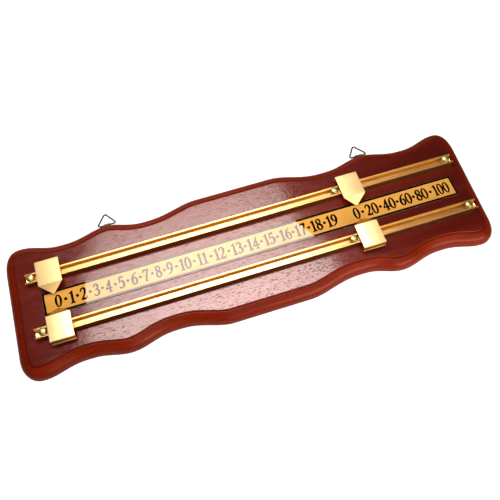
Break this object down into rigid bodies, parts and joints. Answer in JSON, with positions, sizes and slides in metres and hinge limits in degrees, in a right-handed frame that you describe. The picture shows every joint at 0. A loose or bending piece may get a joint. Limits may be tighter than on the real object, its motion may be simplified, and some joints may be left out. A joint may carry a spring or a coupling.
{
  "type": "billiard scoreboard",
  "caption": "Wall scoreboard for billiards and snooker: wavy lacquered wood board, printed gold scale, brass rails with sliding pointers, wire hanging triangles.",
  "frame": {"origin": "on the flat back of the board, at the middle of the printed rows' board (near the centre of the back)", "axes": "+X along the board towards the 100 end, +Y towards the hanger edge (up on the wall), +Z out of the face"},
  "size_m": [0.6059, 0.1969, 0.0296],
  "materials": {
    "lacquered_mahogany": "gloss lacquer",
    "gold_scale_print": "satin gold print with black border and numerals",
    "polished_brass": "polished",
    "pointer_brass": "polished, fine scratches",
    "slider_brass": "satin",
    "screw_brass": "polished",
    "hanger_wire": "dull bronzed",
    "hanger_strap": "satin, brass plated"
  },
  "bodies": {
    "board": {"backboard": "lacquered_mahogany", "scale_plate": "gold_scale_print", "rail_upper": "polished_brass", "rail_lower": "polished_brass", "rail_screw_upper_left": "screw_brass", "rail_screw_upper_middle": "screw_brass", "rail_screw_upper_right": "screw_brass", "rail_screw_lower_left": "screw_brass", "rail_screw_lower_middle": "screw_brass", "rail_screw_lower_right": "screw_brass", "hanger_strap_left": "hanger_strap", "hanger_strap_right": "hanger_strap", "hanger_screw_left_1": "screw_brass", "hanger_screw_left_2": "screw_brass", "hanger_screw_right_1": "screw_brass", "hanger_screw_right_2": "screw_brass"},
    "pointer_left_upper": {"pointer_left_upper": "pointer_brass", "slider_left_upper": "slider_brass"},
    "pointer_left_lower": {"pointer_left_lower": "pointer_brass", "slider_left_lower": "slider_brass"},
    "pointer_right_upper": {"pointer_right_upper": "pointer_brass", "slider_right_upper": "slider_brass"},
    "pointer_right_lower": {"pointer_right_lower": "pointer_brass", "slider_right_lower": "slider_brass"},
    "ring_left": {"hanger_ring_left": "hanger_wire"},
    "ring_right": {"hanger_ring_right": "hanger_wire"}
  },
  "joints": [
    {"name": "left_upper_slide", "type": "slide", "parent": "board", "child": "pointer_left_upper", "axis": [1, 0, 0], "range_m": [-0.0033, 0.3499]},
    {"name": "left_lower_slide", "type": "slide", "parent": "board", "child": "pointer_left_lower", "axis": [1, 0, 0], "range_m": [-0.0018, 0.3462]},
    {"name": "right_upper_slide", "type": "slide", "parent": "board", "child": "pointer_right_upper", "axis": [1, 0, 0], "range_m": [-0.0018, 0.1148]},
    {"name": "right_lower_slide", "type": "slide", "parent": "board", "child": "pointer_right_lower", "axis": [1, 0, 0], "range_m": [-0.0017, 0.1151]},
    {"name": "ring_left_swing", "type": "hinge", "parent": "board", "child": "ring_left", "pos_m": [-0.1667, 0.0919, 0.00385], "axis": [1, 0, 0], "range_deg": [0, 115]},
    {"name": "ring_right_swing", "type": "hinge", "parent": "board", "child": "ring_right", "pos_m": [0.1816, 0.0895, 0.00385], "axis": [1, 0, 0], "range_deg": [0, 115]}
  ]
}
